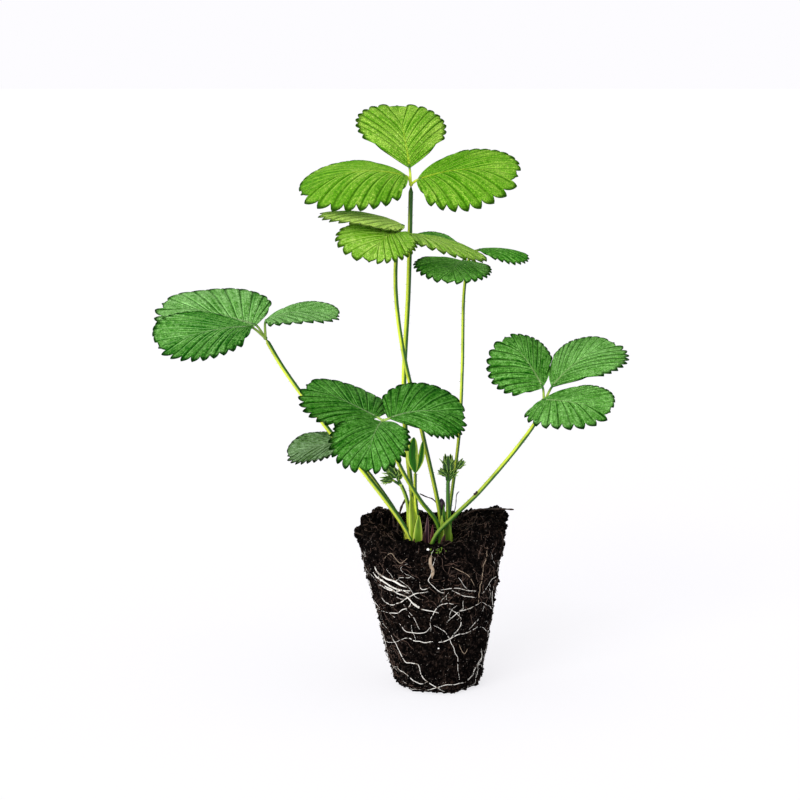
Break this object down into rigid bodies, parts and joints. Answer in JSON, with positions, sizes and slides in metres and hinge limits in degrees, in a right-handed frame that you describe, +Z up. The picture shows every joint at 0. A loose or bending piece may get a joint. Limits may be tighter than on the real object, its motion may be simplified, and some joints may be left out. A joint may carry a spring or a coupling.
{
  "type": "strawberry plug plant",
  "caption": "Young strawberry plant with its bare tapered root ball, long-stalked three-part toothed leaves, a folded young leaf and flower buds.",
  "frame": {"origin": "centre of the root ball's flat foot", "axes": "+Z up along the root ball to the leaves, -Y towards the viewer of the picture, +X to the right"},
  "size_m": [0.2145, 0.113, 0.2628],
  "materials": {
    "soil": "matt dark peat with fibres",
    "root": "pale cream roots",
    "crown": "satin yellow-green sheaths",
    "stalk": "satin yellow-green leaf stalks with fine hairs",
    "young_leaf": "satin bright yellow-green",
    "leaf": "satin mid green with a pale sheen",
    "bud": "matt green flower buds"
  },
  "bodies": {
    "root": {"soil_plug": "soil", "root_net": "root", "crown": "crown", "leaf_top_stalk": "stalk", "leaf_top_blades": "young_leaf", "leaf_upper_left_stalk": "stalk", "leaf_upper_left_blades": "young_leaf", "leaf_upper_right_stalk": "stalk", "leaf_upper_right_blades": "leaf", "leaf_left_stalk": "stalk", "leaf_left_blades": "leaf", "leaf_right_stalk": "stalk", "leaf_right_blades": "leaf", "leaf_front_stalk": "stalk", "leaf_front_blades": "leaf", "leaf_small_stalk": "stalk", "leaf_small_blades": "leaf", "young_leaf": "young_leaf", "bud_truss_left": "bud", "bud_truss_right": "bud"}
  },
  "joints": []
}
